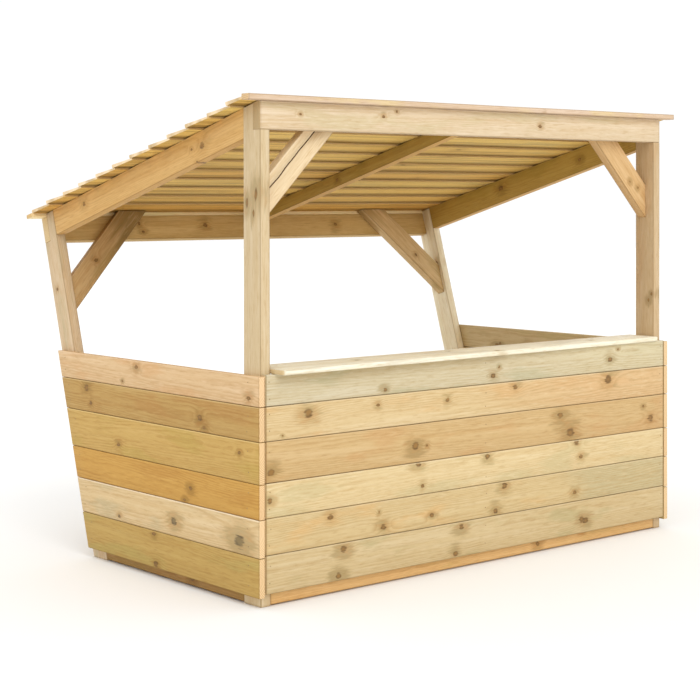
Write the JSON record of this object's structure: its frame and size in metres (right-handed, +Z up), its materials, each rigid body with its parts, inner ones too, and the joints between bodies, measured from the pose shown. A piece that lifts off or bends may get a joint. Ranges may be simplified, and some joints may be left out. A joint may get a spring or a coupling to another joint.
{
  "type": "market stall",
  "caption": "Open wooden market stall for a play area, with boarded front and sides, a counter shelf and a lean-to roof of overlapping boards on a braced frame.",
  "frame": {"origin": "on the ground, at the middle of the stall's length and depth", "axes": "+X along the counter to the right as a customer sees it, +Y from the counter to the open back, +Z up"},
  "size_m": [2.08, 1.4336, 1.614],
  "materials": {
    "frame_timber": "planed, pressure treated, unvarnished",
    "wall_board": "planed, pressure treated, unvarnished",
    "roof_board": "sawn, pressure treated, unvarnished",
    "counter_board": "planed, pressure treated, slightly greyed"
  },
  "bodies": {
    "root": {"front_left_post": "frame_timber", "front_right_post": "frame_timber", "back_left_post": "frame_timber", "back_right_post": "frame_timber", "front_beam": "frame_timber", "back_beam": "frame_timber", "left_rafter": "frame_timber", "middle_rafter": "frame_timber", "right_rafter": "frame_timber", "front_left_brace": "frame_timber", "front_right_brace": "frame_timber", "back_left_brace": "frame_timber", "back_right_brace": "frame_timber", "front_rail": "frame_timber", "left_rail": "frame_timber", "right_rail": "frame_timber", "middle_stud": "frame_timber", "counter": "counter_board", "roof_boards": "roof_board", "roof_cap": "roof_board", "eaves_strip": "roof_board", "front_board_1": "wall_board", "front_board_2": "wall_board", "front_board_3": "wall_board", "front_board_4": "wall_board", "front_board_5": "wall_board", "front_board_6": "wall_board", "left_board_1": "wall_board", "left_board_2": "wall_board", "left_board_3": "wall_board", "left_board_4": "wall_board", "left_board_5": "wall_board", "left_board_6": "wall_board", "right_board_1": "wall_board", "right_board_2": "wall_board", "right_board_3": "wall_board", "right_board_4": "wall_board", "right_board_5": "wall_board", "right_board_6": "wall_board"}
  },
  "joints": []
}
